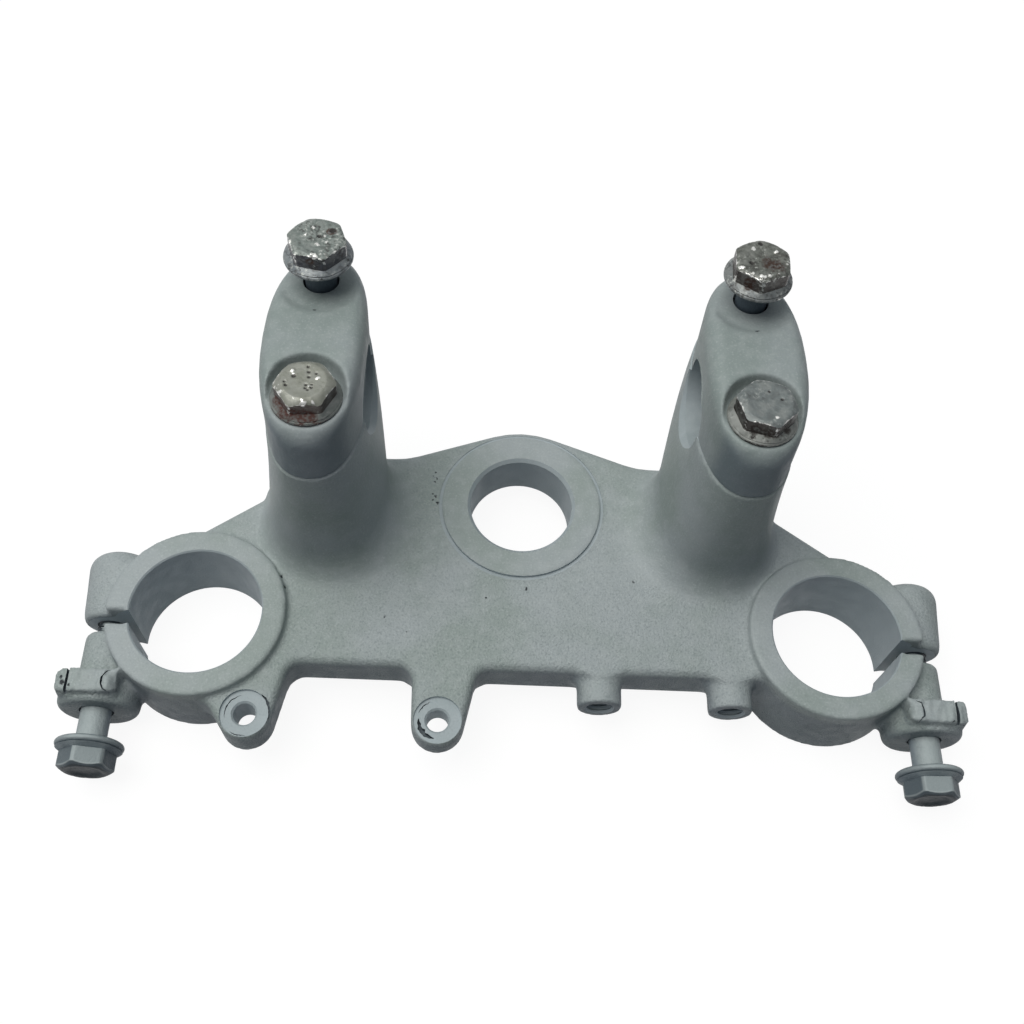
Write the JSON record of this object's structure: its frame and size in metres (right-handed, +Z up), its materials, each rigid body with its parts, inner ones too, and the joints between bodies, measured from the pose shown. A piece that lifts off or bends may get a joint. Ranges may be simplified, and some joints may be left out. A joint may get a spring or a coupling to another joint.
{
  "type": "motorcycle triple clamp",
  "caption": "Cast top yoke with two split fork clamps, a steering stem boss, leaning handlebar risers with bolted caps, and lugs and bosses along the front.",
  "frame": {"origin": "on the steering stem's axis, at the underside of the stem boss", "axes": "+X across the machine, from the side with the eyelet lugs to the side with the lamp bosses; +Y towards the rider; +Z up the steering stem"},
  "size_m": [0.2424, 0.116, 0.0989],
  "materials": {
    "paint": "die-cast aluminium under worn satin silver-grey paint, fine orange peel",
    "plated": "dull zinc-plated steel, pitted, with rust on the flanges",
    "painted_bolt": "steel flange bolt under the same satin grey paint"
  },
  "bodies": {
    "root": {"yoke": "paint", "bar_cap_left": "paint", "bar_cap_right": "paint", "bar_bolt_front_left": "plated", "bar_bolt_rear_left": "plated", "bar_bolt_front_right": "plated", "bar_bolt_rear_right": "plated", "pinch_bolt_left": "painted_bolt", "pinch_bolt_right": "painted_bolt"}
  },
  "joints": []
}
